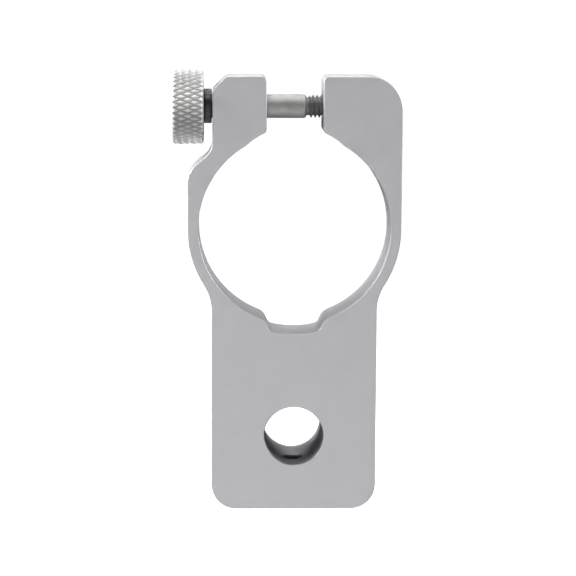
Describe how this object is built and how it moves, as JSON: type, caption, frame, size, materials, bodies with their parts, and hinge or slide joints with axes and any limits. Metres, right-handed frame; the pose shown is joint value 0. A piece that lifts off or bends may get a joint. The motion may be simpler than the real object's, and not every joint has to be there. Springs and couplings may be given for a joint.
{
  "type": "watch movement holder",
  "caption": "Split-ring clamp on a post block: a knurled thumb screw across its ears closes the ring on a watch movement, and a set screw locks the block on a round post.",
  "frame": {"origin": "on the axis of the post bore, halfway through the thickness of the block", "axes": "+Z from the post bore up to the ring's centre, +Y along the post bore towards the back (the side where the block is thicker than the ring), +X away from the knob along the thumb screw"},
  "size_m": [0.0385, 0.0164, 0.075],
  "materials": {
    "satin_aluminium": "fine bead-blasted and clear anodised, satin",
    "bright_steel": "bright nickel-plated steel, diamond knurled",
    "turned_steel": "turned grey steel with fine lathe lines",
    "black_nylon": "black nylon, smooth and slightly glossy",
    "black_oxide_steel": "black oxide steel"
  },
  "bodies": {
    "holder": {"holder_body": "satin_aluminium"},
    "arm": {"flex_arm": "satin_aluminium"},
    "washer": {"thrust_washer": "black_nylon"},
    "thumb_screw": {"thumb_knob": "bright_steel", "clamp_screw": "turned_steel"},
    "set_screw": {"post_set_screw": "black_oxide_steel"}
  },
  "joints": [
    {"name": "screw_turn", "type": "hinge", "parent": "washer", "child": "thumb_screw", "pos_m": [0, -0.0025, 0.0559], "axis": [1, 0, 0], "range_deg": [0, 540]},
    {"name": "screw_feed", "type": "slide", "parent": "holder", "child": "washer", "axis": [1, 0, 0], "range_m": [0, 0.00105]},
    {"name": "arm_flex", "type": "hinge", "parent": "holder", "child": "arm", "pos_m": [-0.0131, -0.0025, 0.0246], "axis": [0, 1, 0], "range_deg": [0, 1.93]},
    {"name": "set_screw_feed", "type": "slide", "parent": "holder", "child": "set_screw", "axis": [0, 0, 1], "range_m": [0, 0.0012]}
  ],
  "couplings": [
    {"joint": "screw_feed", "follows": "screw_turn", "m_per_rad": 0.0001114},
    {"joint": "arm_flex", "follows": "screw_turn", "ratio": 0.00356}
  ]
}
